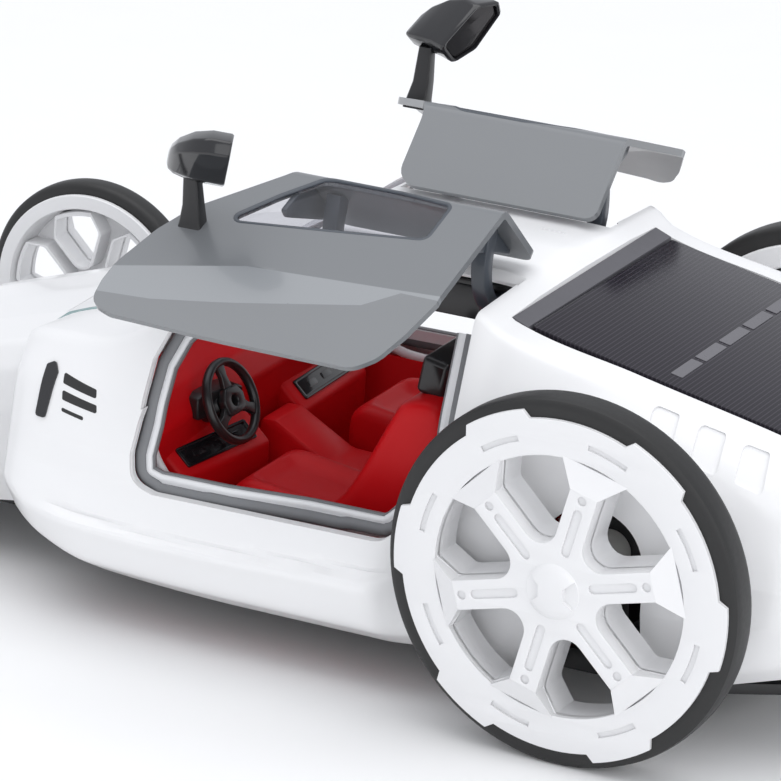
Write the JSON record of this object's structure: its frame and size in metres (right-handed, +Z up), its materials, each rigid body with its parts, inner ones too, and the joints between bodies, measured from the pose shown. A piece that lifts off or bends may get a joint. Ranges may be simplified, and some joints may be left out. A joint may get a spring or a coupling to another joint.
{
  "type": "toy car",
  "caption": "Solar-powered model car kit with upward-swinging doors, a red two-seat cabin, spoked wheels and a sloping solar panel.",
  "frame": {"origin": "on the ground under the middle of the car's bounding box", "axes": "+X forward, +Y to the car's left, +Z up"},
  "size_m": [0.214, 0.1122, 0.0889],
  "materials": {
    "white_shell": "glossy white moulded shell",
    "white_rim": "satin white moulded wheel",
    "grey_shell": "semi-gloss grey moulded door",
    "seal_grey": "satin light grey lip",
    "smoke_glass": "clear smoke-tinted plastic",
    "black_plastic": "satin black moulding",
    "hinge_grey": "satin blue-grey moulding",
    "mirror_glass": "silvered film",
    "red_plastic": "semi-gloss deep red moulding",
    "steel": "bright drawn steel",
    "tray_grey": "satin mid grey",
    "solar_cells": "glossy resin over dark cells",
    "cell_tabs": "dull metallic strips under resin",
    "nylon": "natural nylon",
    "tyre_black": "smooth thin black tyre"
  },
  "bodies": {
    "car_body": {"body_shell": "white_shell", "cell_tabs": "cell_tabs", "centre_console": "red_plastic", "chassis_pan": "black_plastic", "chassis_screws": "steel", "dashboard": "red_plastic", "display_strips": "black_plastic", "door_seal_left": "seal_grey", "door_seal_right": "seal_grey", "front_bush_left": "nylon", "front_bush_right": "nylon", "headrest_left": "black_plastic", "headrest_right": "black_plastic", "hinge_frame": "black_plastic", "hinge_pin_left": "steel", "hinge_pin_right": "steel", "interior_tub": "red_plastic", "motor_can": "steel", "motor_cradle": "black_plastic", "motor_end_cap": "nylon", "nose_section": "white_shell", "rear_bush_left": "nylon", "rear_bush_right": "nylon", "seat_left": "red_plastic", "seat_right": "red_plastic", "solar_panel": "solar_cells", "solar_tray": "tray_grey", "steering_column": "black_plastic", "vent_bar_left": "black_plastic", "vent_bar_right": "black_plastic", "windscreen": "smoke_glass"},
    "rear_axle_set": {"rear_axle": "steel", "axle_gear": "nylon", "rear_rim_left": "white_rim", "rear_rim_right": "white_rim", "rear_tyre_left": "tyre_black", "rear_tyre_right": "tyre_black", "rear_hub_caps": "white_rim"},
    "front_axle_set": {"front_axle": "steel", "front_rim_left": "white_rim", "front_rim_right": "white_rim", "front_tyre_left": "tyre_black", "front_tyre_right": "tyre_black", "front_hub_caps": "white_rim"},
    "motor_rotor": {"motor_shaft": "steel", "motor_pinion": "nylon"},
    "steering": {"steering_wheel": "black_plastic"},
    "left_door": {"door_left": "grey_shell", "door_window_left": "smoke_glass", "hinge_arms_left": "hinge_grey", "mirror_stalk_left": "black_plastic", "mirror_housing_left": "black_plastic", "mirror_glass_left": "mirror_glass"},
    "right_door": {"door_right": "grey_shell", "door_window_right": "smoke_glass", "hinge_arms_right": "hinge_grey", "mirror_stalk_right": "black_plastic", "mirror_housing_right": "black_plastic", "mirror_glass_right": "mirror_glass"}
  },
  "joints": [
    {"name": "rear_axle_spin", "type": "hinge", "parent": "car_body", "child": "rear_axle_set", "pos_m": [-0.065, 0, 0.03], "axis": [0, 1, 0], "continuous": true},
    {"name": "front_axle_spin", "type": "hinge", "parent": "car_body", "child": "front_axle_set", "pos_m": [0.0776, 0, 0.0209], "axis": [0, 1, 0], "continuous": true},
    {"name": "motor_spin", "type": "hinge", "parent": "car_body", "child": "motor_rotor", "pos_m": [-0.04978, 0, 0.02506], "axis": [0, 1, 0], "continuous": true},
    {"name": "steering_spin", "type": "hinge", "parent": "car_body", "child": "steering", "pos_m": [0.011, 0.02, 0.0352], "axis": [-0.9135, 0, 0.4067], "continuous": true},
    {"name": "left_door_swing", "type": "hinge", "parent": "car_body", "child": "left_door", "pos_m": [-0.02, 0.011, 0.059], "axis": [1, 0, 0], "range_deg": [-47, 0]},
    {"name": "right_door_swing", "type": "hinge", "parent": "car_body", "child": "right_door", "pos_m": [-0.02, -0.011, 0.059], "axis": [1, 0, 0], "range_deg": [0, 47]}
  ],
  "couplings": [
    {"joint": "motor_spin", "follows": "rear_axle_spin", "ratio": -3}
  ]
}
